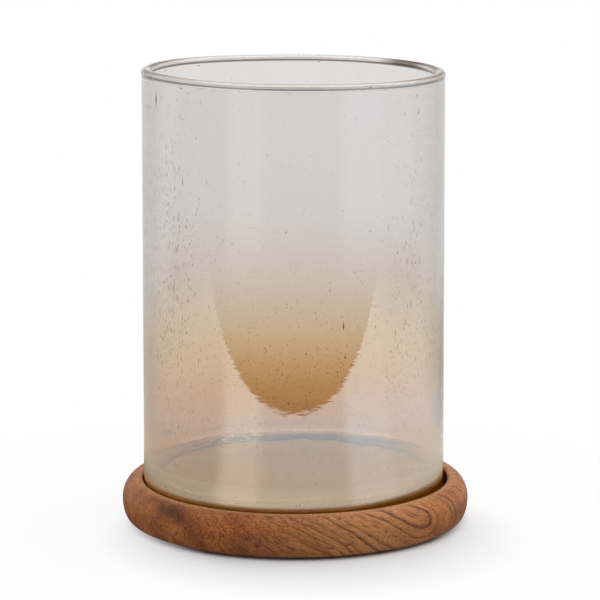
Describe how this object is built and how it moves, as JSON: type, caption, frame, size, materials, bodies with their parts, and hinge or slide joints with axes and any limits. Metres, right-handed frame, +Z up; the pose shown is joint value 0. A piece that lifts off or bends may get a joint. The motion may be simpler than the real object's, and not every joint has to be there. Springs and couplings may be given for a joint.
{
  "type": "hurricane candle holder",
  "caption": "Open-topped cylinder of seeded amber lustre glass with a thick bottom, standing loose in the seat of a round turned wooden base on felt pads; it shelters a candle.",
  "frame": {"origin": "centre of the footprint, on the table, on the axis the wooden base was turned about", "axes": "+Z up along that axis; -Y towards the viewer of the picture, +X to the viewer's right"},
  "size_m": [0.1774, 0.1774, 0.2308],
  "materials": {
    "turned_wood": "oiled, satin",
    "lustre_glass": "clear at the rim to amber at the foot, with a metallic lustre",
    "felt": "pressed felt"
  },
  "bodies": {
    "base": {"wooden_base": "turned_wood", "felt_pad_1": "felt", "felt_pad_2": "felt", "felt_pad_3": "felt", "felt_pad_4": "felt"},
    "glass": {"glass_cylinder": "lustre_glass"}
  },
  "joints": [
    {"name": "glass_lift", "type": "slide", "parent": "base", "child": "glass", "axis": [0, 0, 1], "range_m": [0, 0.06]}
  ]
}
